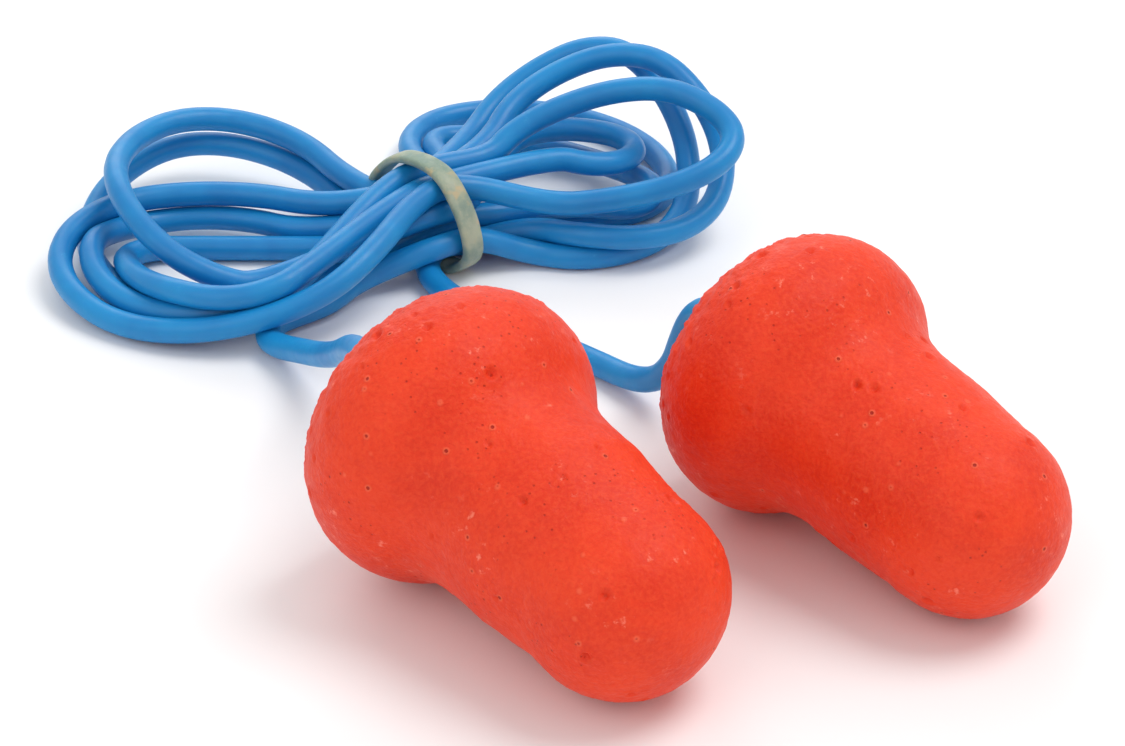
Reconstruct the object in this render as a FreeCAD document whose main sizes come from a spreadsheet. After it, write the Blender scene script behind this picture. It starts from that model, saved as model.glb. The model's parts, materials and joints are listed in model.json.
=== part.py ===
import FreeCAD, Part
import Sketcher
import math
import os
from FreeCAD import Placement, Rotation, Vector

# A pair of bell-shaped foam ear plugs joined by one soft cord. The cord is folded into a
# figure-eight hank that a small elastic band ties at its waist. Everything lies on z = 0.
# Millimetres, +Z up. The origin is on the resting surface, under the middle of the box
# around the two plugs. The plugs' tips point towards -Y, and the hank lies on the +Y side.

doc = FreeCAD.newDocument("foam_ear_plugs")

SIZES = {
    # foam plug, a body of revolution measured from its flat base
    "plug_length": 25.0,
    "base_radius": 6.2,
    "bell_radius": 8.9,
    "bell_round": 5.1,
    "neck_round": 5.5,
    "stem_radius": 6.1,
    # hole for the cord in the middle of the base
    "mouth_radius": 2.0,
    "mouth_depth": 1.2,
    "bore_radius": 1.1,
    "bore_depth": 8.0,
    # cord
    "cord_radius": 0.8,
    "flex_gap": 0.3,
    # size of each plug as a share of those lengths: the right one sprang back a little less
    "left_share": 1.0,
    "right_share": 0.965,
    # where each plug lies: middle of its base, and where its tip points
    "left_base_x": -16.0,
    "left_base_y": 4.7,
    "left_heading": -49.8,
    "right_base_x": 3.5,
    "right_base_y": 11.5,
    "right_heading": -49.0,
    # outer shape of the tied hank: two flat lobes, each with a higher middle, and the waist
    "waist_x": -15.8,
    "waist_y": 36.4,
    "waist_radius": 4.2,
    "waist_height": 6.3,
    "edge_height": 5.2,
    "left_lobe_x": -29.7,
    "left_lobe_y": 35.7,
    "left_lobe_radius": 11.0,
    "left_lobe_height": 6.8,
    "right_lobe_x": -5.7,
    "right_lobe_y": 44.4,
    "right_lobe_radius": 11.6,
    "right_rise_x": -3.5,
    "right_rise_y": 45.8,
    "right_rise_radius": 9.2,
    "right_lobe_height": 9.6,
    "left_slope": 1.3,
    "right_slope": 2.2,
    # elastic band round the waist
    "band_heading": 41.0,
    "band_width": 1.5,
    "band_thickness": 0.6,
}

# Share of the shorter run beside a corner of a route that the corner's arc takes up.
ARC_SHARE = 0.45
# How far apart two lengths may be and still count as the same.
SAME_LENGTH = 0.01
# How far the volume of a swept lead may be from that of a plain tube, as a share.
TUBE_ERROR = 0.01

sheet = doc.addObject("Spreadsheet::Sheet", "sizes")
for row, (alias, value) in enumerate(SIZES.items(), start=1):
    sheet.set(f"A{row}", alias)
    sheet.set(f"B{row}", str(value))
    sheet.setAlias(f"B{row}", alias)
doc.recompute()


def size(alias):
    """The current value of a driving dimension."""
    return float(sheet.get(alias))


def origin_plane(body, role):
    return next(feature for feature in body.Origin.OriginFeatures if feature.Role == role)


def new_body(name):
    body = doc.addObject("PartDesign::Body", name)
    body.Label = name
    return body


def new_sketch(body, name, role):
    sketch = body.newObject("Sketcher::SketchObject", name)
    sketch.AttachmentSupport = [(origin_plane(body, role), "")]
    sketch.MapMode = "FlatFace"
    return sketch


def bind(sketch, constraint, name, formula):
    """Add a dimension to a sketch, named and driven by the sheet."""
    index = sketch.addConstraint(constraint)
    sketch.renameConstraint(index, name)
    sketch.setExpression(f"Constraints.{name}", formula)


def join_ends(sketch, count):
    """Join the end of each edge to the start of the next one, round a closed outline."""
    for edge in range(count):
        sketch.addConstraint(Sketcher.Constraint("Coincident", edge, 2, (edge + 1) % count, 1))


def revolve(body, sketch, kind, name):
    feature = body.newObject(kind, name)
    feature.Profile = sketch
    feature.ReferenceAxis = (sketch, ["V_Axis"])
    feature.Angle = 360.0
    body.Tip = feature
    return feature


def closed_polygon(sketch, points):
    """Draw straight edges through the points and back to the first one."""
    for start, end in zip(points, points[1:] + points[:1]):
        sketch.addGeometry(Part.LineSegment(Vector(*start, 0), Vector(*end, 0)), False)
    join_ends(sketch, len(points))


# ---- foam plugs ---------------------------------------------------------------------


def bell_height():
    """How far above the base the bell is widest."""
    inset = size("base_radius") - (size("bell_radius") - size("bell_round"))
    return math.sqrt(size("bell_round") ** 2 - inset**2)


def plug_tilt():
    """How far the axis dips towards the tip when bell and tip both touch the surface."""
    across = size("bell_radius") - size("bell_round")
    along = size("plug_length") - size("stem_radius") - bell_height()
    turn = (size("stem_radius") - size("bell_round")) / math.hypot(across, along)
    return math.acos(turn) - math.atan2(along, across)


def plug_placement(side):
    """Local +Z runs from the middle of the base to the tip."""
    tilt = plug_tilt()
    heading = math.radians(size(f"{side}_heading"))
    rise = math.sin(tilt) * (size("plug_length") - size("stem_radius")) + size("stem_radius")
    rise *= size(f"{side}_share")
    axis = Vector(
        math.cos(tilt) * math.cos(heading),
        math.cos(tilt) * math.sin(heading),
        -math.sin(tilt),
    )
    base = Vector(size(f"{side}_base_x"), size(f"{side}_base_y"), rise)
    return Placement(base, Rotation(Vector(0, 0, 1), axis))


def plug_outline(sketch, side):
    """Half section: base, round bell, hollow neck, straight stem and round tip."""
    share = size(f"{side}_share")
    base_r = size("base_radius") * share
    stem_r = size("stem_radius") * share
    bell_round = size("bell_round") * share
    neck_round = size("neck_round") * share
    length = size("plug_length") * share
    bell_c = Vector(size("bell_radius") * share - bell_round, bell_height() * share, 0)
    neck_x = stem_r + neck_round
    reach = bell_round + neck_round
    neck_c = Vector(neck_x, bell_c.y + math.sqrt(reach**2 - (neck_x - bell_c.x) ** 2), 0)
    tip_c = Vector(0, length - stem_r, 0)
    up = Vector(0, 0, 1)
    lean = math.atan2(neck_c.y - bell_c.y, neck_c.x - bell_c.x)
    base_turn = math.atan2(-bell_c.y, base_r - bell_c.x)
    bell = Part.ArcOfCircle(Part.Circle(bell_c, up, bell_round), base_turn, lean)
    neck = Part.ArcOfCircle(Part.Circle(neck_c, up, neck_round), math.pi, math.pi + lean)
    tip = Part.ArcOfCircle(Part.Circle(tip_c, up, stem_r), 0, math.pi / 2)
    neck_end = Vector(stem_r, neck_c.y, 0)
    stem_top = Vector(stem_r, tip_c.y, 0)
    sketch.addGeometry(Part.LineSegment(Vector(0, 0, 0), Vector(base_r, 0, 0)), False)
    sketch.addGeometry(bell, False)
    sketch.addGeometry(neck, False)
    sketch.addGeometry(Part.LineSegment(neck_end, stem_top), False)
    sketch.addGeometry(tip, False)
    sketch.addGeometry(Part.LineSegment(Vector(0, length, 0), Vector(0, 0, 0)), False)
    constrain = Sketcher.Constraint
    sketch.addConstraint(constrain("Coincident", 0, 1, -1, 1))
    sketch.addConstraint(constrain("Horizontal", 0))
    sketch.addConstraint(constrain("Coincident", 0, 2, 1, 1))
    sketch.addConstraint(constrain("Tangent", 1, 2, 2, 2))
    sketch.addConstraint(constrain("Tangent", 2, 1, 3, 1))
    sketch.addConstraint(constrain("Vertical", 3))
    sketch.addConstraint(constrain("Tangent", 3, 2, 4, 1))
    sketch.addConstraint(constrain("Coincident", 4, 2, 5, 1))
    sketch.addConstraint(constrain("Coincident", 5, 2, 0, 1))
    sketch.addConstraint(constrain("PointOnObject", 4, 3, -2))
    sketch.addConstraint(constrain("Vertical", 5))
    scaled = f"* sizes.{side}_share"
    bell_centre = f"(sizes.bell_radius - sizes.bell_round) {scaled}"
    bind(sketch, constrain("DistanceX", -1, 1, 0, 2, 1.0), "base", f"sizes.base_radius {scaled}")
    bind(sketch, constrain("Radius", 1, 1.0), "bell_round", f"sizes.bell_round {scaled}")
    bind(sketch, constrain("DistanceX", -1, 1, 1, 3, 1.0), "bell_centre", bell_centre)
    bind(sketch, constrain("Radius", 2, 1.0), "neck_round", f"sizes.neck_round {scaled}")
    bind(sketch, constrain("Radius", 4, 1.0), "tip_round", f"sizes.stem_radius {scaled}")
    bind(sketch, constrain("DistanceY", -1, 1, 4, 2, 1.0), "length", f"sizes.plug_length {scaled}")


def cord_hole(sketch):
    """Half section of the hole: a wide mouth that narrows to a blind bore."""
    mouth = (size("mouth_radius"), 0)
    neck = (size("bore_radius"), size("mouth_depth"))
    floor = (size("bore_radius"), size("bore_depth"))
    closed_polygon(sketch, [(0, 0), mouth, neck, floor, (0, size("bore_depth"))])
    constrain = Sketcher.Constraint
    sketch.addConstraint(constrain("Coincident", 0, 1, -1, 1))
    sketch.addConstraint(constrain("Horizontal", 0))
    sketch.addConstraint(constrain("Vertical", 2))
    sketch.addConstraint(constrain("Horizontal", 3))
    sketch.addConstraint(constrain("Vertical", 4))
    bind(sketch, constrain("DistanceX", -1, 1, 0, 2, 1.0), "mouth", "sizes.mouth_radius")
    bind(sketch, constrain("DistanceY", -1, 1, 1, 2, 1.0), "mouth_depth", "sizes.mouth_depth")
    bind(sketch, constrain("DistanceX", -1, 1, 2, 1, 1.0), "bore", "sizes.bore_radius")
    bind(sketch, constrain("DistanceY", -1, 1, 2, 2, 1.0), "bore_depth", "sizes.bore_depth")


def foam_plug(side):
    body = new_body(f"{side}_plug")
    outline = new_sketch(body, f"{side}_plug_outline", "XZ_Plane")
    plug_outline(outline, side)
    revolve(body, outline, "PartDesign::Revolution", f"{side}_plug_solid")
    hole = new_sketch(body, f"{side}_plug_hole", "XZ_Plane")
    cord_hole(hole)
    revolve(body, hole, "PartDesign::Groove", f"{side}_plug_bore")
    body.Placement = plug_placement(side)
    return body


def cord_end(side):
    """The last stretch of the cord, buried in the foam."""
    end = doc.addObject("Part::Cylinder", f"{side}_cord_end")
    end.setExpression("Radius", "sizes.cord_radius")
    wall = "(sizes.bore_radius - sizes.cord_radius)"
    end.setExpression("Height", f"sizes.bore_depth - sizes.mouth_depth - {wall}")
    start = Placement(Vector(0, 0, size("mouth_depth")), Rotation())
    end.Placement = plug_placement(side) * start
    return end


def bond(side):
    """The cup of adhesive that fills the bore round the buried end of the cord."""
    body = new_body(f"{side}_bond")
    section = new_sketch(body, f"{side}_bond_section", "XZ_Plane")
    outer = size("bore_radius")
    inner = size("cord_radius")
    top = size("bore_depth") - size("mouth_depth")
    floor = top - (outer - inner)
    outside = [(inner, 0), (outer, 0), (outer, top), (0, top)]
    closed_polygon(section, outside + [(0, floor), (inner, floor)])
    constrain = Sketcher.Constraint
    for edge in (0, 2, 4):
        section.addConstraint(constrain("Horizontal", edge))
    for edge in (1, 3, 5):
        section.addConstraint(constrain("Vertical", edge))
    section.addConstraint(constrain("PointOnObject", 0, 1, -1))
    section.addConstraint(constrain("PointOnObject", 3, 1, -2))
    bind(section, constrain("DistanceX", -1, 1, 0, 1, 1.0), "inner", "sizes.cord_radius")
    bind(section, constrain("DistanceX", -1, 1, 1, 1, 1.0), "outer", "sizes.bore_radius")
    depth = "sizes.bore_depth - sizes.mouth_depth"
    bind(section, constrain("DistanceY", -1, 1, 1, 2, 1.0), "depth", depth)
    wall = "sizes.bore_radius - sizes.cord_radius"
    bind(section, constrain("DistanceY", 3, 2, 3, 1, 1.0), "wall", wall)
    revolve(body, section, "PartDesign::Revolution", f"{side}_bond_solid")
    start = Placement(Vector(0, 0, size("mouth_depth")), Rotation())
    body.Placement = plug_placement(side) * start
    return body


# ---- cord leads ---------------------------------------------------------------------

# Hand-chosen route of each lead, from the plug to the hank. The first point is where the
# cord leaves the foam, and is worked out from the plug.
LEFT_ROUTE = [
    (-17.0, 5.9, 10.0),
    (-18.2, 8.0, 10.0),
    (-19.1, 10.6, 8.9),
    (-19.7, 13.4, 7.0),
    (-20.5, 16.1, 5.0),
    (-21.7, 18.8, 3.3),
    (-23.0, 21.2, 2.1),
    (-24.3, 22.9, 1.3),
    (-25.3, 24.3, 0.95),
    (-25.5, 25.8, 0.85),
    (-24.6, 27.0, 0.85),
    (-23.2, 28.0, 0.85),
    (-21.7, 29.2, 0.85),
]
RIGHT_ROUTE = [
    (2.5, 12.7, 9.7),
    (1.4, 14.3, 9.3),
    (0.6, 15.5, 7.9),
    (0.1, 16.1, 6.0),
    (-0.3, 16.6, 4.1),
    (-1.2, 17.6, 2.3),
    (-2.7, 19.3, 1.2),
    (-5.1, 22.0, 0.85),
    (-8.4, 24.7, 0.85),
    (-11.6, 27.2, 0.85),
    (-14.1, 29.6, 0.85),
    (-15.7, 32.1, 0.85),
    (-16.2, 34.4, 0.85),
    (-15.8, 36.0, 1.0),
]


def lead_start(side):
    """The middle of the hole's mouth, a small gap short of the buried end."""
    depth = size("mouth_depth") - size("flex_gap")
    return plug_placement(side).multVec(Vector(0, 0, depth))


def rounded_path(name, points):
    """Straight runs joined by tangent arcs, each as large as its two runs allow."""
    edges = []
    at = points[0]
    radii = []
    for before, corner, after in zip(points, points[1:], points[2:]):
        back = (before - corner).normalize()
        ahead = (after - corner).normalize()
        shorter = min((before - corner).Length, (after - corner).Length)
        cut = ARC_SHARE * shorter
        half_turn = (math.pi - back.getAngle(ahead)) / 2
        radius = cut / math.tan(half_turn)
        radii.append(radius)
        to_middle = (back + ahead).normalize()
        middle = corner + to_middle * (radius / math.cos(half_turn) - radius)
        start = corner + back * cut
        end = corner + ahead * cut
        edges.append(Part.LineSegment(at, start).toShape())
        edges.append(Part.Arc(start, middle, end).toShape())
        at = end
    edges.append(Part.LineSegment(at, points[-1]).toShape())
    print(name, "radii", " ".join(f"{radius:.1f}" for radius in radii))
    return Part.Wire(edges)


def lead(name, side, route):
    points = [lead_start(side)] + [Vector(*point) for point in route]
    path = rounded_path(name, points)
    spine = doc.addObject("Part::Feature", f"{name}_path")
    spine.Shape = path
    ring = doc.addObject("Part::Circle", f"{name}_section")
    ring.setExpression("Radius", "sizes.cord_radius")
    ring.Placement = Placement(points[0], Rotation(Vector(0, 0, 1), points[1] - points[0]))
    tube = doc.addObject("Part::Sweep", name)
    tube.Sections = [ring]
    tube.Spine = (spine, [])
    tube.Solid = True
    tube.Frenet = False
    doc.recompute()
    expected = math.pi * size("cord_radius") ** 2 * path.Length
    print(name, f"length {path.Length:.1f} volume {tube.Shape.Volume:.2f} of {expected:.2f}")
    if abs(tube.Shape.Volume / expected - 1) > TUBE_ERROR:
        raise ValueError(f"{name} is not a plain tube")
    return tube


# ---- hank and band ------------------------------------------------------------------


def lobe_outline(sketch, side):
    """Two circles and the straight lines that touch both: the lobe and the waist."""
    waist = Vector(size("waist_x"), size("waist_y"), 0)
    lobe = Vector(size(f"{side}_lobe_x"), size(f"{side}_lobe_y"), 0)
    small = size("waist_radius")
    large = size(f"{side}_lobe_radius")
    run = lobe - waist
    heading = math.atan2(run.y, run.x)
    spread = math.acos((large - small) / run.Length)
    up = Vector(0, 0, 1)
    first = heading + spread
    second = heading - spread

    def on_circle(centre, radius, angle):
        return centre + Vector(math.cos(angle), math.sin(angle), 0) * radius

    round_lobe = Part.ArcOfCircle(Part.Circle(lobe, up, large), second, first)
    round_waist = Part.ArcOfCircle(Part.Circle(waist, up, small), first, second + 2 * math.pi)
    sketch.addGeometry(round_lobe, False)
    to_waist = (on_circle(lobe, large, first), on_circle(waist, small, first))
    sketch.addGeometry(Part.LineSegment(*to_waist), False)
    sketch.addGeometry(round_waist, False)
    to_lobe = (on_circle(waist, small, second), on_circle(lobe, large, second))
    sketch.addGeometry(Part.LineSegment(*to_lobe), False)
    for edge in range(4):
        following = (edge + 1) % 4
        sketch.addConstraint(Sketcher.Constraint("Tangent", edge, 2, following, 1))
    centre = {f"{side}_lobe": 0, "waist": 2}
    for name, edge in centre.items():
        constrain = Sketcher.Constraint
        bind(sketch, constrain("Radius", edge, 1.0), f"{name}_radius", f"sizes.{name}_radius")
        bind(sketch, constrain("DistanceX", -1, 1, edge, 3, 1.0), f"{name}_x", f"sizes.{name}_x")
        bind(sketch, constrain("DistanceY", -1, 1, edge, 3, 1.0), f"{name}_y", f"sizes.{name}_y")


def round_outline(sketch, x_alias, y_alias, radius_alias):
    centre = Vector(size(x_alias), size(y_alias), 0)
    sketch.addGeometry(Part.Circle(centre, Vector(0, 0, 1), size(radius_alias)), False)
    constrain = Sketcher.Constraint
    bind(sketch, constrain("Radius", 0, 1.0), "radius", f"sizes.{radius_alias}")
    bind(sketch, constrain("DistanceX", -1, 1, 0, 3, 1.0), "centre_x", f"sizes.{x_alias}")
    bind(sketch, constrain("DistanceY", -1, 1, 0, 3, 1.0), "centre_y", f"sizes.{y_alias}")


def pad(body, sketch, name, height_alias):
    feature = body.newObject("PartDesign::Pad", name)
    feature.Profile = sketch
    feature.setExpression("Length", f"sizes.{height_alias}")
    body.Tip = feature
    doc.recompute()
    return feature


def round_edge(feature, centre, radius):
    """Name of the circular edge with this centre and radius."""
    for index, edge in enumerate(feature.Shape.Edges, start=1):
        curve = edge.Curve
        if not isinstance(curve, Part.Circle):
            continue
        same_centre = (curve.Center - centre).Length < SAME_LENGTH
        if same_centre and abs(curve.Radius - radius) < SAME_LENGTH:
            return f"Edge{index}"
    raise ValueError("no such edge")


def hank():
    """Outer shape of the tied hank, as one solid."""
    body = new_body("cord_hank")
    for side in ("left", "right"):
        outline = new_sketch(body, f"{side}_lobe_outline", "XY_Plane")
        lobe_outline(outline, side)
        pad(body, outline, f"{side}_lobe", "edge_height")
    rises = {"left": "left_lobe", "right": "right_rise"}
    for side, disc in rises.items():
        outline = new_sketch(body, f"{side}_rise_outline", "XY_Plane")
        round_outline(outline, f"{disc}_x", f"{disc}_y", f"{disc}_radius")
        raised = pad(body, outline, f"{side}_rise", f"{side}_lobe_height")
        height = size(f"{side}_lobe_height")
        centre = Vector(size(f"{disc}_x"), size(f"{disc}_y"), height)
        edge = round_edge(raised, centre, size(f"{disc}_radius"))
        chamfer = body.newObject("PartDesign::Chamfer", f"{side}_slope")
        chamfer.Base = (raised, [edge])
        chamfer.setExpression("Size", f"sizes.{side}_slope")
        body.Tip = chamfer
        doc.recompute()
    waist_outline = new_sketch(body, "waist_outline", "XY_Plane")
    round_outline(waist_outline, "waist_x", "waist_y", "waist_radius")
    pad(body, waist_outline, "waist", "waist_height")
    return body


def band():
    """Flat elastic ring that stands across the bundle, its lowest stretch on the surface."""
    body = new_body("tie_band")
    for name, grow in (("outer", "sizes.band_thickness"), ("inner", "0")):
        sketch = new_sketch(body, f"band_{name}", "XY_Plane")
        wall = size("band_thickness") if name == "outer" else 0.0
        radius = (size("waist_height") - size("band_thickness")) / 2 + wall
        reach = size("waist_radius") - (size("waist_height") - size("band_thickness")) / 2
        up = Vector(0, 0, 1)
        right = Part.Circle(Vector(reach, 0, 0), up, radius)
        left = Part.Circle(Vector(-reach, 0, 0), up, radius)
        sketch.addGeometry(Part.ArcOfCircle(right, -math.pi / 2, math.pi / 2), False)
        sketch.addGeometry(
            Part.LineSegment(Vector(reach, radius, 0), Vector(-reach, radius, 0)), False
        )
        sketch.addGeometry(Part.ArcOfCircle(left, math.pi / 2, 3 * math.pi / 2), False)
        sketch.addGeometry(
            Part.LineSegment(Vector(-reach, -radius, 0), Vector(reach, -radius, 0)), False
        )
        constrain = Sketcher.Constraint
        for edge in range(4):
            sketch.addConstraint(constrain("Tangent", edge, 2, (edge + 1) % 4, 1))
        sketch.addConstraint(constrain("PointOnObject", 0, 3, -1))
        sketch.addConstraint(constrain("PointOnObject", 2, 3, -1))
        sketch.addConstraint(constrain("Horizontal", 1))
        inside = "(sizes.waist_height - sizes.band_thickness) / 2"
        bind(sketch, constrain("Radius", 0, 1.0), "end_round", f"{inside} + {grow}")
        half = f"sizes.waist_radius - {inside}"
        bind(sketch, constrain("DistanceX", -1, 1, 0, 3, 1.0), "reach", half)
        bind(sketch, constrain("DistanceX", 2, 3, -1, 1, 1.0), "left_reach", half)
        kind = "PartDesign::Pad" if name == "outer" else "PartDesign::Pocket"
        feature = body.newObject(kind, f"band_{name}_solid")
        feature.Profile = sketch
        feature.Midplane = True
        feature.setExpression("Length", "sizes.band_width")
        body.Tip = feature
        doc.recompute()
    # local X lies across the bundle, local Y points up and local Z runs along it
    along = Rotation(Vector(0, 0, 1), size("band_heading") - 90) * Rotation(Vector(1, 0, 0), 90)
    height = (size("waist_height") + size("band_thickness")) / 2
    middle = Vector(size("waist_x"), size("waist_y"), height)
    body.Placement = Placement(middle, along)
    return body


nodes = []
for side in ("left", "right"):
    nodes += [foam_plug(side), bond(side), cord_end(side)]
nodes.append(lead("cord_left_lead", "left", LEFT_ROUTE))
nodes.append(lead("cord_right_lead", "right", RIGHT_ROUTE))
nodes.append(hank())
nodes.append(band())
for node in nodes:
    node.Label = node.Name
doc.recompute()

for item in doc.Objects:
    if "Invalid" in item.State or "Error" in item.State:
        raise ValueError(f"{item.Label} failed: {item.State}")
for node in nodes:
    if node.Shape.isNull() or not node.Shape.isValid():
        raise ValueError(f"{node.Label} has no valid shape")

os.makedirs("parts", exist_ok=True)
for node in nodes:
    node.Shape.exportStep(f"parts/{node.Label}.step")
    box = node.Shape.BoundBox
    print(
        f"{node.Label}: volume {node.Shape.Volume:.1f}"
        f" x {box.XMin:.2f}..{box.XMax:.2f} y {box.YMin:.2f}..{box.YMax:.2f}"
        f" z {box.ZMin:.2f}..{box.ZMax:.2f}"
    )
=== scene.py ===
"""Looks of a pair of corded foam ear plugs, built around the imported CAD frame.

The cord is one long smooth curve: a free lead from each plug, and between them the turns of
a figure-eight hank, each an oval that passes through the tied waist. Metres, +Z up, unless
a comment says otherwise.
"""

import json
import math
import random

import bmesh
import bpy
import numpy as np
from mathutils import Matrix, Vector, noise


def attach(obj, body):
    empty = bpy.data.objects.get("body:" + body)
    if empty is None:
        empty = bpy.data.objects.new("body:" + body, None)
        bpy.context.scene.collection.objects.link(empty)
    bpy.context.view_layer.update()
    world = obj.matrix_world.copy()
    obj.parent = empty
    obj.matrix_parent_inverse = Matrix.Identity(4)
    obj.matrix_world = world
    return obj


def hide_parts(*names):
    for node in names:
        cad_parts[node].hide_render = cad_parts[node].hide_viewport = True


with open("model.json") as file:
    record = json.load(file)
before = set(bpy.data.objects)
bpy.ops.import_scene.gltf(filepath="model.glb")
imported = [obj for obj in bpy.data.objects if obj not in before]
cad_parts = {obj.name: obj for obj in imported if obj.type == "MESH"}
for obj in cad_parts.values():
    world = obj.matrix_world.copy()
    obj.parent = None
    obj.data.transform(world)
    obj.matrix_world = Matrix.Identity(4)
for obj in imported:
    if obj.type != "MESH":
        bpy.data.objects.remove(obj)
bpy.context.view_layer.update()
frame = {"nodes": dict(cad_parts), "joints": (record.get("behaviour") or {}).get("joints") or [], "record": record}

MM = 0.001

# ---- sizes --------------------------------------------------------------------------

CORD_DIAMETER = 0.0016
CORD_RADIUS = CORD_DIAMETER / 2

# Plug, measured from its flat base along its axis.
PLUG_LENGTH = 0.025
BASE_RADIUS = 0.0062
BELL_RADIUS = 0.0089
BELL_ROUND = 0.0051
NECK_ROUND = 0.0055
STEM_RADIUS = 0.0061
MOUTH_RADIUS = 0.002
MOUTH_DEPTH = 0.0012
BORE_RADIUS = 0.0011
BORE_DEPTH = 0.008
EXIT_DEPTH = 0.0009
SWING_DEPTH = 0.00105
# The right plug sprang back a little less, so it is this share of those outer lengths.
PLUG_SHARE = {"left": 1.0, "right": 0.965}
# How far each squeezed stem stands off a true cylinder, at these heights above the base.
STEM_HEIGHTS = (0.005, 0.0085, 0.011, 0.014, 0.0175, 0.019, 0.025)
STEM_SWELL = {
    "left": (0, 0.0001, 0.0002, 0.0002, -0.0003, -0.0003, 0),
    "right": (0, 0.0001, 0.0002, 0.0001, -0.0002, -0.0002, 0),
}

# Free leads, from each plug to the hank. Each starts in the mouth of its plug's hole.
LEFT_ROUTE = [
    (-0.0170, 0.0059, 0.0100),
    (-0.0182, 0.0080, 0.0100),
    (-0.0191, 0.0106, 0.0089),
    (-0.0197, 0.0134, 0.0070),
    (-0.0205, 0.0161, 0.0050),
    (-0.0217, 0.0188, 0.0033),
    (-0.0230, 0.0212, 0.0021),
    (-0.0243, 0.0229, 0.0013),
    (-0.0253, 0.0243, 0.00095),
    (-0.0255, 0.0258, 0.00085),
    (-0.0246, 0.0270, 0.00085),
    (-0.0232, 0.0280, 0.00085),
    (-0.0217, 0.0292, 0.00085),
    (-0.0201, 0.0316, 0.0011),
]
RIGHT_ROUTE = [
    (0.0025, 0.0127, 0.0097),
    (0.0014, 0.0143, 0.0093),
    (0.0006, 0.0155, 0.0079),
    (0.0001, 0.0161, 0.0060),
    (-0.0003, 0.0166, 0.0041),
    (-0.0012, 0.0176, 0.0023),
    (-0.0027, 0.0193, 0.0012),
    (-0.0051, 0.0220, 0.00085),
    (-0.0084, 0.0247, 0.00085),
    (-0.0116, 0.0272, 0.00085),
    (-0.0136, 0.0292, 0.00085),
    (-0.0150, 0.0312, 0.00085),
    (-0.0157, 0.0329, 0.0009),
    (-0.0157, 0.0345, 0.0011),
    (-0.0148, 0.0357, 0.0013),
]

# Waist of the hank, where twelve passes of the cord lie side by side in four layers.
WAIST = Vector((-0.0158, 0.0364, 0.0))
WAIST_HEADING = math.radians(36)
WAIST_PITCH = 0.0020
WAIST_FLOOR = 0.00135
WAIST_LAYER = 0.0013
WAIST_HALF_RUN = 0.0016

# Each turn of the hank is an oval, in millimetres and degrees: centre, the two radii, heading
# of the first radius, first and last angle round it, and how high the cord lies at four
# places along the turn. Given to the half millimetre and the five degrees, with 0.8 for the
# height of a cord that lies on the surface.
TURNS = {
    "left_a": ((-28.5, 38.0), (9.0, 7.5), 110, (-85, 180), (3.0, 5.0, 5.5, 0.8)),
    "left_b": ((-29.0, 37.0), (10.5, 8.5), 120, (-100, 155), (1.5, 3.0, 0.8, 1.0)),
    "left_c": ((-29.0, 32.0), (10.5, 7.5), 170, (-120, 165), (3.0, 2.5, 0.8, 4.5)),
    "left_d": ((-29.5, 32.5), (6.5, 8.5), -115, (-200, 80), (1.5, 0.8, 1.5, 3.5)),
    "left_e": ((-29.5, 30.5), (7.0, 4.5), 140, (-40, 185), (0.8, 0.8, 2.5, 3.0)),
    "right_a": ((-8.5, 47.5), (9.5, 7.0), -35, (240, -30), (1.5, 0.8, 1.0, 0.8)),
    "right_b": ((-8.5, 45.0), (9.5, 4.0), -35, (230, -55), (2.0, 0.8, 0.8, 2.0)),
    "right_c": ((-6.0, 43.5), (8.5, 7.5), 105, (55, -220), (2.5, 8.5, 1.0, 1.0)),
    "right_d": ((-4.0, 41.5), (8.0, 7.0), -30, (200, -105), (4.5, 9.5, 2.5, 1.5)),
    "right_e": ((-3.5, 39.0), (4.0, 8.0), 85, (85, -210), (5.0, 9.5, 7.0, 4.0)),
    "right_f": ((-6.5, 44.0), (4.5, 3.5), -15, (185, -90), (3.5, 3.5, 4.0, 4.5)),
}
TURN_POINTS = 12

# How the strands settle. The gap they keep, and how far along the cord two places belong to
# different strands, are in cord diameters. The search for neighbours reaches some gaps.
KEPT_GAP = 1.02
SAME_STRETCH = 2
SEARCH_REACH = 1.6
# At each step: how strongly overlaps are pushed apart, how far points are drawn back to
# where they started, and how much the shift is smoothed along the cord.
PUSH = 1.3
PULL_BACK = 0.02
SMOOTHING = 0.15
# A point's shift is divided by the weight of its samples, or by this if that is less.
LEAST_WEIGHT = 0.5
SETTLE_STEPS = 200
SEARCH_EVERY = 10
SAMPLES_PER_SPAN = 6
# Bends tighter than this radius are eased, by this share of the way to the chord.
TIGHTEST = 0.0034
EASING = 0.05

# The order of winding: a pass through the waist (row and layer), the turn after it, and
# whether the cord runs round that turn as listed or backwards.
WINDING = [
    ((1.5, 1), "right_c", -1),
    ((-1.5, 1), "left_a", 1),
    ((1, 2), "right_f", 1),
    ((0, 2), "left_e", -1),
    ((0, 0), "right_a", -1),
    ((-1, 0), "left_b", 1),
    ((0.5, 1), "right_b", -1),
    ((-0.5, 1), "left_d", 1),
    ((-0.5, 3), "right_e", 1),
    ((0.5, 3), "left_c", -1),
    ((-1, 2), "right_d", 1),
]
LAST_PASS = (1, 0)


# ---- small helpers ------------------------------------------------------------------


def add_object(name, data):
    made = bpy.data.objects.new(name, data)
    bpy.context.scene.collection.objects.link(made)
    return made


def mesh_object(name, vertices, faces, material):
    mesh = bpy.data.meshes.new(name)
    mesh.from_pydata([tuple(vertex) for vertex in vertices], [], faces)
    mesh.validate()
    mesh.shade_smooth()
    mesh.materials.append(material)
    return add_object(name, mesh)


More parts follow.
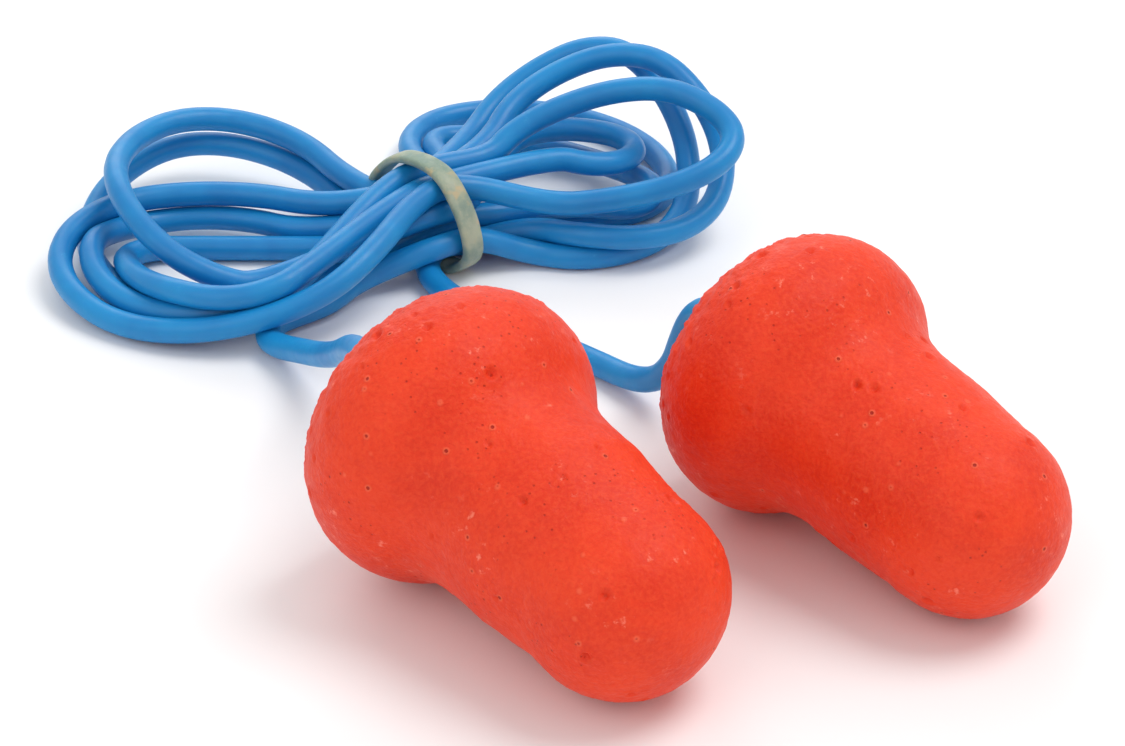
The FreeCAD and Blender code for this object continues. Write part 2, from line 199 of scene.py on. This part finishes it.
def grid_faces(rows, columns, close_rows=False):
    """Quads of a grid of vertices whose columns close into a ring."""
    faces = []
    for row in range(rows if close_rows else rows - 1):
        following = (row + 1) % rows
        for column in range(columns):
            beside = (column + 1) % columns
            faces.append(
                (
                    row * columns + column,
                    row * columns + beside,
                    following * columns + beside,
                    following * columns + column,
                )
            )
    return faces


def plug_axis(side):
    """The plug's direction from base to tip, as its stem mount gives it."""
    mounts = {mount["name"]: mount for mount in frame["record"]["mounts"]}
    return Vector(mounts[f"{side}_stem"]["axis"]).normalized()


def plug_base(side):
    """The middle of the plug's base: the swing joint lies a little way inside it."""
    joints = {joint["name"]: joint for joint in frame["joints"]}
    return Vector(joints[f"{side}_plug_swing"]["pos_m"]) - plug_axis(side) * SWING_DEPTH


# ---- materials ----------------------------------------------------------------------


class Graph:
    """A material and short ways to add nodes to it. Lengths are in metres."""

    def __init__(self, name, **shader_inputs):
        self.material = bpy.data.materials.new(name)
        self.material.use_nodes = True
        self.tree = self.material.node_tree
        self.shader = self.tree.nodes["Principled BSDF"]
        self.place = self.tree.nodes.new("ShaderNodeTexCoord").outputs["Object"]
        for label, value in shader_inputs.items():
            self.shader.inputs[label.replace("_", " ")].default_value = value

    def node(self, kind, inputs=None, output=0, **settings):
        made = self.tree.nodes.new(kind)
        for key, value in settings.items():
            setattr(made, key, value)
        for key, value in (inputs or {}).items():
            if isinstance(value, bpy.types.NodeSocket):
                self.tree.links.new(value, made.inputs[key])
            else:
                made.inputs[key].default_value = value
        return made.outputs[output]

    def noise(self, grain, detail=2.0, rough=0.5, shift=(0, 0, 0)):
        """Soft random values about 0.5, in patches about this many metres across."""
        place = self.node(
            "ShaderNodeMapping", {"Vector": self.place, "Location": shift}
        )
        inputs = {"Vector": place, "Scale": 1 / grain, "Detail": detail, "Roughness": rough}
        return self.node("ShaderNodeTexNoise", inputs)

    def step(self, value, low, high, start=0.0, end=1.0):
        """A smooth step from start to end as value goes from low to high."""
        inputs = {
            "Value": value,
            "From Min": low,
            "From Max": high,
            "To Min": start,
            "To Max": end,
        }
        return self.node("ShaderNodeMapRange", inputs, interpolation_type="SMOOTHSTEP")

    def math(self, operation, first, second=0.0):
        return self.node("ShaderNodeMath", {0: first, 1: second}, operation=operation)

    def mix(self, factor, first, second, blend="MIX"):
        """A colour between two colours."""
        inputs = {"Factor": factor, 6: first, 7: second}
        return self.node(
            "ShaderNodeMix", inputs, output=2, data_type="RGBA", blend_type=blend
        )

    def pores(self, spacing, radius, share, shift=(0, 0, 0)):
        """Dots and the lip rings round them: one of each in some cells of an uneven lattice."""
        place = self.node(
            "ShaderNodeMapping", {"Vector": self.place, "Location": shift}
        )
        inputs = {"Vector": place, "Scale": 1 / spacing}
        cells = self.node("ShaderNodeTexVoronoi", inputs)
        chance = self.node(
            "ShaderNodeSeparateColor", {"Color": cells.node.outputs["Color"]}
        )
        reach = radius / spacing
        chosen = self.math("LESS_THAN", chance, share)
        dots = self.step(cells, 0.35 * reach, reach, 1.0, 0.0)
        lips_relief_and_painted_highlight = self.step(cells, reach, 2 * reach, 1.0, 0.0)
        lips_relief_and_painted_highlight = self.math("SUBTRACT", lips_relief_and_painted_highlight, dots)
        return self.math("MULTIPLY", dots, chosen), self.math("MULTIPLY", lips_relief_and_painted_highlight, chosen)

    def link(self, value, label):
        self.tree.links.new(value, self.shader.inputs[label])

    def bump(self, height, depth, strength=1.0):
        inputs = {"Height": height, "Distance": depth, "Strength": strength}
        self.link(self.node("ShaderNodeBump", inputs), "Normal")


def foam_material(name, shift):
    """Slow-recovery foam with a thin moulded skin: fine pores, pale flecks, dusty sheen, painted shade in the
    grain's low spots and in the pores, and a painted highlight on the pores' lip rings.
    """
    graph = Graph(
        name,
        Specular_IOR_Level=0.26,
        Coat_Weight=0.07,
        Coat_Roughness=0.40,
        Sheen_Weight=0.02,
        Sheen_Roughness=0.35,
        Subsurface_Weight=0.12,
        Subsurface_Scale=0.0006,
    )
    graph.shader.inputs["Subsurface Radius"].default_value = (1.0, 0.25, 0.12)
    graph.shader.inputs["Sheen Tint"].default_value = (1.0, 0.82, 0.78, 1)
    deep = (0.72, 0.029, 0.0045, 1)
    bright = (0.83, 0.046, 0.008, 1)
    patches = graph.noise(0.005, 3.0, 0.55, shift)
    colour = graph.mix(graph.step(patches, 0.3, 0.7), deep, bright)
    grain = graph.noise(0.00026, 3.0, 0.6, shift)
    colour = graph.mix(graph.step(grain, 0.40, 0.70, 0.0, 0.32), colour, (0.90, 0.090, 0.020, 1))
    # Painted shade: where the grain's relief sinks, the colour is made darker.
    painted_shade_in_hollows = graph.step(grain, 0.30, 0.45, 0.16, 0.0)
    colour = graph.mix(painted_shade_in_hollows, colour, (0.56, 0.017, 0.004, 1))
    flecks = graph.noise(0.0008, 4.0, 0.65, shift)
    where = graph.step(graph.noise(0.004, 1.0, 0.5, shift), 0.45, 0.65)
    pale = graph.math("MULTIPLY", graph.step(flecks, 0.60, 0.72, 0.0, 0.75), where)
    colour = graph.mix(pale, colour, (0.95, 0.24, 0.15, 1))
    pinholes, lips_relief_and_painted_highlight = graph.pores(0.0014, 0.00013, 0.5, shift)
    fine = graph.pores(0.00045, 0.00009, 0.75, shift)[0]
    porous = graph.step(graph.noise(0.006, 1.0, 0.5, shift), 0.50, 0.62)
    fine = graph.math("MULTIPLY", fine, porous)
    pore_holes_relief_and_painted_shade = graph.math("MAXIMUM", pinholes, graph.math("MULTIPLY", fine, 0.7))
    # Painted highlight: the raised lip rings round the pinholes are coloured paler; the same mask also lifts them
    # in the bump below.
    colour = graph.mix(graph.math("MULTIPLY", lips_relief_and_painted_highlight, 0.45), colour, (0.94, 0.16, 0.07, 1))
    # Painted shade: the pinholes and fine pores are coloured dark red, as if shaded inside; the same mask also
    # sinks them in the bump below.
    colour = graph.mix(graph.math("MULTIPLY", pore_holes_relief_and_painted_shade, 0.8), colour, (0.36, 0.009, 0.004, 1))
    graph.link(colour, "Base Color")
    graph.link(graph.step(flecks, 0.3, 0.7, 0.62, 0.46), "Roughness")
    relief = graph.math("ADD", graph.math("MULTIPLY", grain, 1.2), flecks)
    relief = graph.math("ADD", relief, graph.math("MULTIPLY", lips_relief_and_painted_highlight, 0.6))
    relief = graph.math("SUBTRACT", relief, pore_holes_relief_and_painted_shade)
    graph.bump(relief, 0.00006)
    return graph.material


def cord_material():
    """Soft satin vinyl: slightly cloudy, with faint scuffs and a translucent edge."""
    graph = Graph(
        "cord_vinyl",
        Specular_IOR_Level=0.36,
        Subsurface_Weight=0.30,
        Subsurface_Scale=0.0006,
        Coat_Weight=0.06,
        Coat_Roughness=0.25,
    )
    graph.shader.inputs["Subsurface Radius"].default_value = (0.25, 0.6, 1.0)
    cloud = graph.noise(0.006, 3.0, 0.6)
    colour = graph.mix(
        graph.step(cloud, 0.3, 0.7), (0.005, 0.198, 0.50, 1), (0.008, 0.262, 0.59, 1)
    )
    scuffs = graph.noise(0.0011, 5.0, 0.7)
    pale = graph.step(scuffs, 0.62, 0.76, 0.0, 0.35)
    colour = graph.mix(pale, colour, (0.045, 0.37, 0.66, 1))
    graph.link(colour, "Base Color")
    graph.link(graph.step(scuffs, 0.3, 0.75, 0.34, 0.5), "Roughness")
    graph.bump(graph.noise(0.0006, 3.0, 0.5), 0.00002, 0.6)
    return graph.material


def band_material():
    """Aged clear rubber: cloudy grey-green with amber streaks and a waxy sheen."""
    graph = Graph(
        "band_rubber",
        Specular_IOR_Level=0.45,
        Subsurface_Weight=0.5,
        Subsurface_Scale=0.0008,
    )
    graph.shader.inputs["Subsurface Radius"].default_value = (1.0, 0.8, 0.4)
    cloud = graph.noise(0.0022, 4.0, 0.6)
    colour = graph.mix(
        graph.step(cloud, 0.35, 0.65), (0.20, 0.29, 0.24, 1), (0.38, 0.42, 0.31, 1)
    )
    dust = graph.noise(0.00035, 4.0, 0.7)
    colour = graph.mix(graph.step(dust, 0.55, 0.75, 0.0, 0.4), colour, (0.50, 0.47, 0.34, 1))
    streaks = graph.step(graph.noise(0.0011, 2.0, 0.5, (0.02, 0, 0)), 0.58, 0.70, 0.0, 0.6)
    colour = graph.mix(streaks, colour, (0.56, 0.42, 0.22, 1))
    graph.link(colour, "Base Color")
    graph.link(graph.step(dust, 0.3, 0.7, 0.38, 0.6), "Roughness")
    graph.bump(dust, 0.00004)
    return graph.material


def bond_material():
    """Cured adhesive: glossy amber with small trapped bubbles."""
    graph = Graph("cured_adhesive", Specular_IOR_Level=0.5, Coat_Weight=0.4, Coat_Roughness=0.1)
    bubbles = graph.pores(0.0005, 0.00012, 0.5)[0]
    cloud = graph.step(graph.noise(0.0012, 3.0), 0.3, 0.7)
    colour = graph.mix(cloud, (0.58, 0.42, 0.22, 1), (0.76, 0.64, 0.42, 1))
    graph.link(graph.mix(bubbles, colour, (0.88, 0.82, 0.68, 1)), "Base Color")
    graph.link(graph.step(cloud, 0.0, 1.0, 0.15, 0.3), "Roughness")
    graph.bump(bubbles, 0.00004)
    return graph.material


def floor_material():
    graph = Graph("pale_floor", Specular_IOR_Level=0.2)
    cloud = graph.noise(0.15, 2.0)
    colour = graph.mix(cloud, (0.90, 0.90, 0.90, 1), (0.93, 0.93, 0.93, 1))
    graph.link(colour, "Base Color")
    graph.shader.inputs["Roughness"].default_value = 0.7
    return graph.material


# ---- camera -------------------------------------------------------------------------


def make_camera():
    """Looks along +Y and down at the pair, from where the picture is to be taken."""
    target = Vector((-0.0070, 0.0220, 0.0))
    elevation = math.radians(32)
    distance = 0.2166
    data = bpy.data.cameras.new("camera")
    data.sensor_width = 36
    data.lens = 112
    data.clip_start = 0.01
    data.clip_end = 10
    camera = add_object("camera", data)
    back = Vector((0, -math.cos(elevation), math.sin(elevation)))
    camera.location = target + back * distance
    camera.rotation_euler = (-back).to_track_quat("-Z", "Y").to_euler()
    bpy.context.scene.camera = camera


# ---- cord ---------------------------------------------------------------------------


def waist_point(place, along):
    """A point of the pass in this row and layer, this far along the hank from its middle."""
    row, layer = place
    ahead = Vector((math.cos(WAIST_HEADING), math.sin(WAIST_HEADING), 0))
    across = Vector((ahead.y, -ahead.x, 0))
    point = WAIST + ahead * along + across * (row * WAIST_PITCH)
    point.z = WAIST_FLOOR + layer * WAIST_LAYER
    return point


def turn_points(name):
    """Points round one oval turn, from where it leaves the waist to where it comes back."""
    centre, radii, heading, sweep, heights = TURNS[name]
    heading = math.radians(heading)
    points = []
    for step in range(TURN_POINTS):
        share = step / (TURN_POINTS - 1)
        angle = math.radians(sweep[0] + (sweep[1] - sweep[0]) * share)
        ahead = radii[0] * math.cos(angle)
        aside = radii[1] * math.sin(angle)
        x = centre[0] + ahead * math.cos(heading) - aside * math.sin(heading)
        y = centre[1] + ahead * math.sin(heading) + aside * math.cos(heading)
        height = float(np.interp(share * 3, range(4), heights))
        points.append(Vector((x, y, height)) * MM)
    return points


def cord_points():
    """The cord's points from the left plug to the right one, and which of them may settle."""
    points = [plug_base("left") + plug_axis("left") * EXIT_DEPTH]
    points += [Vector(point) for point in LEFT_ROUTE]
    lead_count = len(points)
    for place, turn, way in WINDING:
        towards = WAIST_HALF_RUN if turn.startswith("right") else -WAIST_HALF_RUN
        points.append(waist_point(place, -towards))
        points.append(waist_point(place, towards))
        points += turn_points(turn)[::way]
    points.append(waist_point(LAST_PASS, WAIST_HALF_RUN))
    free = np.ones(len(points))
    free[:lead_count] = 0
    points += [Vector(point) for point in reversed(RIGHT_ROUTE)]
    points.append(plug_base("right") + plug_axis("right") * EXIT_DEPTH)
    free = np.concatenate([free, np.zeros(len(points) - len(free))])
    return np.array(points), free


def spline_samples(count):
    """Matrix that turns a quadratic spline's points into places along it."""
    rows = []
    for span in range(count - 2):
        for step in range(SAMPLES_PER_SPAN):
            t = step / SAMPLES_PER_SPAN
            row = np.zeros(count)
            row[span : span + 3] = ((1 - t) ** 2 / 2, (1 + 2 * t - 2 * t * t) / 2, t * t / 2)
            rows.append(row)
    return np.array(rows)


def eased(points, free):
    """The points, those at bends tighter than the limit drawn a little towards the chord."""
    back = points[1:-1] - points[:-2]
    ahead = points[2:] - points[1:-1]
    back_run = np.linalg.norm(back, axis=1)
    ahead_run = np.linalg.norm(ahead, axis=1)
    cosine = ((back * ahead).sum(1) / (back_run * ahead_run)).clip(-1, 0.9999)
    radius = np.minimum(back_run, ahead_run) / 2 * (1 + cosine) / 2 / np.sqrt((1 - cosine) / 2)
    weight = EASING * (1 - radius / TIGHTEST).clip(0, 1)[:, None]
    chord = (points[:-2] + points[2:]) / 2
    result = points.copy()
    result[1:-1] += (chord - points[1:-1]) * weight * free[1:-1]
    return result


def near_pairs(line, gap):
    """Pairs of places that lie close together but far apart along the cord."""
    travel = np.r_[0, np.cumsum(np.linalg.norm(np.diff(line, axis=0), axis=1))]
    apart = np.linalg.norm(line[:, None] - line[None], axis=2)
    along = np.abs(travel[:, None] - travel[None])
    return np.nonzero((apart < SEARCH_REACH * gap) & (along > SAME_STRETCH * CORD_DIAMETER))


def settle(points, free):
    """Lay the strands a diameter apart: push apart those that overlap, off the floor too."""
    sampler = spline_samples(len(points))
    weight = sampler.sum(0)[:, None].clip(LEAST_WEIGHT)
    gap = CORD_DIAMETER * KEPT_GAP
    start = points.copy()
    free = free[:, None]
    for step in range(SETTLE_STEPS):
        line = sampler @ points
        if step % SEARCH_EVERY == 0:
            first, second = near_pairs(line, gap)
        between = line[first] - line[second]
        distance = np.linalg.norm(between, axis=1).clip(1e-9)
        near = distance < gap
        share = (gap - distance[near]) / 2 / distance[near]
        push = np.zeros_like(line)
        np.add.at(push, first[near], between[near] * share[:, None])
        touching = np.bincount(first[near], minlength=len(line)).clip(1)
        push *= (np.minimum(touching, 2) / touching)[:, None]
        push[:, 2] += (CORD_RADIUS - line[:, 2]).clip(0)
        move = sampler.T @ push / weight * PUSH + (start - points) * PULL_BACK
        points = points + move * free
        drift = points - start
        smooth = drift.copy()
        smooth[1:-1] = (drift[:-2] + 2 * drift[1:-1] + drift[2:]) / 4
        points = eased(start + drift + (smooth - drift) * SMOOTHING * free, free)
        points[:, 2] = points[:, 2].clip(CORD_RADIUS)
    return points


def make_cord(material):
    points, free = cord_points()
    points = settle(points, free)
    curve = bpy.data.curves.new("cord", "CURVE")
    curve.dimensions = "3D"
    curve.bevel_depth = 1.0
    curve.bevel_resolution = 7
    curve.resolution_u = 8
    curve.use_fill_caps = True
    spline = curve.splines.new("NURBS")
    spline.points.add(len(points) - 1)
    for place, point in zip(spline.points, points):
        place.co = (*point, 1)
        place.radius = CORD_RADIUS
    spline.order_u = 3
    spline.use_endpoint_u = True
    curve.materials.append(material)
    cord = add_object("cord", curve)
    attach(cord, "cord")
    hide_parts("cord_left_lead", "cord_right_lead", "cord_hank")
    return cord


def centreline(cord):
    """Places along the cord's own line, read from its spline."""
    bevel = cord.data.bevel_depth
    cord.data.bevel_depth = 0
    mesh = bpy.data.meshes.new_from_object(cord)
    cord.data.bevel_depth = bevel
    line = np.array([vertex.co for vertex in mesh.vertices])
    bpy.data.meshes.remove(mesh)
    return line


# ---- band ---------------------------------------------------------------------------

BAND_WIDTH = 0.0015
BAND_THICKNESS = 0.0006
BAND_HEADING = math.radians(41)
BAND_SLACK = 0.00025
# Directions in which the bundle's reach is measured, and passes that round off the bends.
BAND_DIRECTIONS = 240
BAND_STIFFNESS = 130
LOOP_SMOOTHING = 4
BAND_POINTS = 160
BAND_SECTION = 16
# Powers of the cosine and sine that square off the band's section across and through it.
SECTION_POWERS = (0.5, 0.7)
# Strands further than this many pitches from the waist's middle pass beside the band.
BUNDLE_REACH = 3.2
# The band's slow sideways wander: how far, how much it widens, and how many waves a metre.
BAND_SWAY = 0.00025
BAND_SPREAD = 0.12
SWAY_WAVES = 300


def make_band(cord, material):
    """A flat elastic loop drawn tight round the strands at the waist."""
    ahead = np.array((math.cos(BAND_HEADING), math.sin(BAND_HEADING), 0.0))
    across = np.array((math.sin(BAND_HEADING), -math.cos(BAND_HEADING), 0.0))
    up = np.array((0.0, 0.0, 1.0))
    middle = np.array(WAIST)
    line = centreline(cord) - middle
    side = line @ ahead
    crossing = np.nonzero(side[:-1] * side[1:] <= 0)[0]
    share = (side[crossing] / (side[crossing] - side[crossing + 1]))[:, None]
    strands = line[crossing] * (1 - share) + line[crossing + 1] * share
    strands = np.c_[strands @ across, strands[:, 2]]
    strands = strands[np.abs(strands[:, 0]) < BUNDLE_REACH * WAIST_PITCH]
    loop = even_loop(stretched_loop(strands), BAND_POINTS)
    loop[:, 1] = loop[:, 1].clip(BAND_THICKNESS / 2)
    ring = []
    for index, place in enumerate(loop):
        ahead_of = loop[(index + 1) % len(loop)] - loop[index - 1]
        outward = np.array((ahead_of[1], -ahead_of[0])) / np.linalg.norm(ahead_of)
        sway = noise.noise(Vector((*(place * SWAY_WAVES), 1.5)))
        for step in range(BAND_SECTION):
            turn = 2 * math.pi * step / BAND_SECTION
            wide = math.copysign(abs(math.cos(turn)) ** SECTION_POWERS[0], math.cos(turn))
            thick = math.copysign(abs(math.sin(turn)) ** SECTION_POWERS[1], math.sin(turn))
            wide = wide * BAND_WIDTH / 2 * (1 + BAND_SPREAD * sway) + sway * BAND_SWAY
            flat = place + outward * thick * BAND_THICKNESS / 2
            point = middle + across * flat[0] + up * flat[1] + ahead * wide
            point[2] = max(point[2], 0.0)
            ring.append(point)
    faces = grid_faces(len(loop), BAND_SECTION, True)
    band = mesh_object("tie_band_loop", ring, faces, material)
    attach(band, "cord")
    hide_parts("tie_band")
    return band


def stretched_loop(strands):
    """Closed line round the strands, bent no more sharply than stiff rubber lets it."""
    turns, step = np.linspace(0, 2 * math.pi, BAND_DIRECTIONS, endpoint=False, retstep=True)
    outward = np.c_[np.cos(turns), np.sin(turns)]
    sideways = np.c_[-np.sin(turns), np.cos(turns)]
    reach = (strands @ outward.T).max(0) + CORD_RADIUS + BAND_THICKNESS / 2 + BAND_SLACK
    for _ in range(BAND_STIFFNESS):
        reach = (np.roll(reach, 1) + 2 * reach + np.roll(reach, -1)) / 4
    slope = (np.roll(reach, -1) - np.roll(reach, 1)) / (2 * step)
    return outward * reach[:, None] + sideways * slope[:, None]


def even_loop(points, count):
    """The same closed line with evenly spaced, slightly smoothed points."""
    closed = np.vstack([points, points[:1]])
    travel = np.r_[0, np.cumsum(np.linalg.norm(np.diff(closed, axis=0), axis=1))]
    wanted = np.linspace(0, travel[-1], count, endpoint=False)
    even = np.stack([np.interp(wanted, travel, closed[:, axis]) for axis in (0, 1)], axis=1)
    for _ in range(LOOP_SMOOTHING):
        even = (np.roll(even, 1, axis=0) + 2 * even + np.roll(even, -1, axis=0)) / 4
    return even


# ---- plugs --------------------------------------------------------------------------

RING_STEP = 0.00016
RING_SEGMENTS = 320
PROFILE_SMOOTHING = 6

# Relief of the foam's skin: how high it stands and how wide its lumps are. Soft waves and
# grain run all over it, while the bell's rim has coarser grain and crumbs of its own.
WAVE_LIFT, WAVE_SIZE = 0.00007, 0.006
GRAIN_LIFT, GRAIN_SIZE = 0.00003, 0.0009
RIM_GRAIN_LIFT = 0.00011
CRUMB_LIFT, CRUMB_SIZE = 0.00006, 0.00035
RIM_HEIGHT, RIM_SPREAD = 0.0004, 0.0016

# Burst bubbles: elsewhere than near the bell's rim, most are left out. Depth and lip are
# shares of the radius.
PIT_COUNT = 90
PIT_RADII = (0.00018, 0.00042)
PIT_RIM_HEIGHT = 0.0042
PIT_LEFT_OUT = 0.78
PIT_DEPTH = 0.75
PIT_LIP = 0.16
# The hole's funnel is smooth out to this many mouth radii, and bubbles keep further off.
FUNNEL_REACH = 1.15
PIT_CLEARANCE = 1.4


def arc(centre, radius, first, last):
    """Points along an arc, centre as (radius from the axis, height above the base)."""
    count = max(2, round(abs(last - first) * radius / RING_STEP))
    angles = np.linspace(first, last, count)
    return [(centre[0] + radius * math.cos(a), centre[1] + radius * math.sin(a)) for a in angles]


def run(start, end):
    count = max(2, round(math.dist(start, end) / RING_STEP))
    return [tuple(point) for point in np.linspace(start, end, count)]


def plug_profile(side):
    """Half section from the floor of the cord's hole, over the base, bell and neck, to the tip."""
    share = PLUG_SHARE[side]
    base, bell_round, neck_round = BASE_RADIUS * share, BELL_ROUND * share, NECK_ROUND * share
    stem = STEM_RADIUS * share
    bell_c = BELL_RADIUS * share - bell_round
    bell_height = math.sqrt(bell_round**2 - (base - bell_c) ** 2)
    neck_c = stem + neck_round
    neck_height = bell_height + math.sqrt((bell_round + neck_round) ** 2 - (neck_c - bell_c) ** 2)
    tip_height = PLUG_LENGTH * share - stem
    lean = math.atan2(neck_height - bell_height, neck_c - bell_c)
    base_turn = math.atan2(-bell_height, base - bell_c)
    parts = [
        run((0, BORE_DEPTH), (BORE_RADIUS, BORE_DEPTH)),
        run((BORE_RADIUS, BORE_DEPTH), (BORE_RADIUS, MOUTH_DEPTH)),
        run((BORE_RADIUS, MOUTH_DEPTH), (MOUTH_RADIUS, 0)),
        run((MOUTH_RADIUS, 0), (base, 0)),
        arc((bell_c, bell_height), bell_round, base_turn, lean),
        arc((neck_c, neck_height), neck_round, math.pi + lean, math.pi),
        run((stem, neck_height), (stem, tip_height)),
        arc((0, tip_height), stem, 0, math.pi / 2),
    ]
    profile = [parts[0][0]]
    for part in parts:
        profile += part[1:]
    profile = np.array(profile)
    for _ in range(PROFILE_SMOOTHING):
        profile[1:-1] = (profile[:-2] + 2 * profile[1:-1] + profile[2:]) / 4
    swell = np.interp(profile[:, 1], STEM_HEIGHTS, STEM_SWELL[side])
    swell[profile[:, 0] < FUNNEL_REACH * MOUTH_RADIUS] = 0
    swell *= (profile[:, 0] / stem).clip(0, 1)
    profile[:, 0] += swell
    profile[[0, -1], 0] = 0
    return profile


def surface_noise(points, grain, octaves, shift):
    scaled = points / grain + shift
    return np.array([noise.fractal(Vector(p), 0.7, 2.1, octaves) for p in scaled])


def pit_depths(points, seed):
    """How far each point lies in one of the small burst bubbles, with their raised lips."""
    chooser = random.Random(seed)
    outside = np.nonzero(points[:, 2] < PLUG_LENGTH)[0]
    depth = np.zeros(len(points))
    for _ in range(PIT_COUNT):
        while True:
            middle = points[chooser.choice(outside)]
            beyond_hole = math.hypot(middle[0], middle[1]) > PIT_CLEARANCE * MOUTH_RADIUS
            near_rim = middle[2] < PIT_RIM_HEIGHT
            keep = near_rim or chooser.random() > PIT_LEFT_OUT
            if beyond_hole and keep:
                break
        radius = chooser.uniform(*PIT_RADII)
        far = np.linalg.norm(points - middle, axis=1) / radius
        bowl = np.where(far < 1, (1 - far**2) ** 2, 0)
        lip = np.exp(-(((far - 1.2) / 0.3) ** 2))
        depth += radius * (PIT_DEPTH * bowl - PIT_LIP * lip)
    return depth


def plug_mesh(side, seed):
    """Vertices of one plug in its own frame: base at z = 0, tip up."""
    profile = plug_profile(side)
    slope = np.gradient(profile, axis=0)
    normal = np.c_[slope[:, 1], -slope[:, 0]]
    normal /= np.linalg.norm(normal, axis=1)[:, None]
    turns = np.linspace(0, 2 * math.pi, RING_SEGMENTS, endpoint=False)
    spin = np.c_[np.cos(turns), np.sin(turns)]
    rings = profile[1:-1]
    outward = normal[1:-1]
    points = np.array([(*(r * spin[k]), h) for r, h in rings for k in range(RING_SEGMENTS)])
    normals = np.array([(*(r * spin[k]), h) for r, h in outward for k in range(RING_SEGMENTS)])
    radius = np.hypot(points[:, 0], points[:, 1])
    in_hole = (radius < FUNNEL_REACH * MOUTH_RADIUS) & (points[:, 2] < BORE_DEPTH * 1.02)
    shift = np.array((seed * 7.3, seed * 3.1, seed * 5.7))
    height = points[:, 2]
    rim = np.exp(-(((height - RIM_HEIGHT) / RIM_SPREAD) ** 2)) * (radius > 0.6 * BASE_RADIUS)
    lift = WAVE_LIFT * surface_noise(points, WAVE_SIZE, 2, shift)
    lift += (GRAIN_LIFT + RIM_GRAIN_LIFT * rim) * surface_noise(points, GRAIN_SIZE, 3, shift)
    lift += CRUMB_LIFT * rim * surface_noise(points, CRUMB_SIZE, 2, shift)
    lift -= pit_depths(points, seed)
    lift[in_hole] = 0
    points += normals * lift[:, None]
    first_pole = (0, 0, profile[0, 1])
    last_pole = (0, 0, profile[-1, 1] + lift[-1])
    return points, first_pole, last_pole, len(rings)


def make_plug(side, seed, material):
    points, first_pole, last_pole, rings = plug_mesh(side, seed)
    turn = plug_axis(side).to_track_quat("Z", "Y").to_matrix()
    vertices = np.vstack([points, first_pole, last_pole]) @ np.array(turn).T
    vertices += np.array(plug_base(side))
    vertices[:, 2] = vertices[:, 2].clip(0)
    faces = grid_faces(rings, RING_SEGMENTS)
    first, last = len(points), len(points) + 1
    top = (rings - 1) * RING_SEGMENTS
    for k in range(RING_SEGMENTS):
        beside = (k + 1) % RING_SEGMENTS
        faces.append((first, beside, k))
        faces.append((last, top + k, top + beside))
    plug = mesh_object(f"{side}_foam_plug", vertices, faces, material)
    face_outwards(plug)
    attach(plug, f"{side}_plug")
    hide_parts(f"{side}_plug")
    return plug


def face_outwards(piece):
    shape = bmesh.new()
    shape.from_mesh(piece.data)
    bmesh.ops.recalc_face_normals(shape, faces=shape.faces)
    shape.to_mesh(piece.data)
    shape.free()


# ---- floor and light ----------------------------------------------------------------

FLOOR_HALF = 1.5
LIGHT_TARGET = Vector((-0.005, 0.02, 0))


def make_floor():
    half = FLOOR_HALF
    corners = [(-half, -half, 0), (half, -half, 0), (half, half, 0), (-half, half, 0)]
    floor = mesh_object("floor", corners, [(0, 1, 2, 3)], floor_material())


def area_light(name, place, size, power):
    data = bpy.data.lights.new(name, "AREA")
    data.shape = "DISK"
    data.size = size
    data.energy = power
    light = add_object(name, data)
    light.location = place
    aim = LIGHT_TARGET - Vector(place)
    light.rotation_euler = aim.to_track_quat("-Z", "Y").to_euler()


def make_lights():
    area_light("key", (0.25, 0.05, 0.55), 0.35, 1.6)
    area_light("fill", (-0.35, -0.35, 0.45), 0.5, 0.6)
    area_light("back", (-0.1, 0.6, 0.35), 0.5, 1.0)
    world = bpy.data.worlds.new("studio")
    world.use_nodes = True
    background = world.node_tree.nodes["Background"]
    background.inputs["Color"].default_value = (1, 1, 1, 1)
    background.inputs["Strength"].default_value = 0.72
    bpy.context.scene.world = world
    bpy.context.scene.view_settings.view_transform = "Standard"


# ---- the object ---------------------------------------------------------------------

make_camera()
vinyl = cord_material()
cord = make_cord(vinyl)
band = make_band(cord, band_material())
adhesive = bond_material()
for seed, side in enumerate(("left", "right"), start=1):
    shift = (seed * 0.05, seed * 0.03, 0)
    make_plug(side, seed, foam_material(f"foam_{side}", shift))
    for node, material in ((f"{side}_bond", adhesive), (f"{side}_cord_end", vinyl)):
        frame["nodes"][node].data.materials.clear()
        frame["nodes"][node].data.materials.append(material)
make_floor()
make_lights()
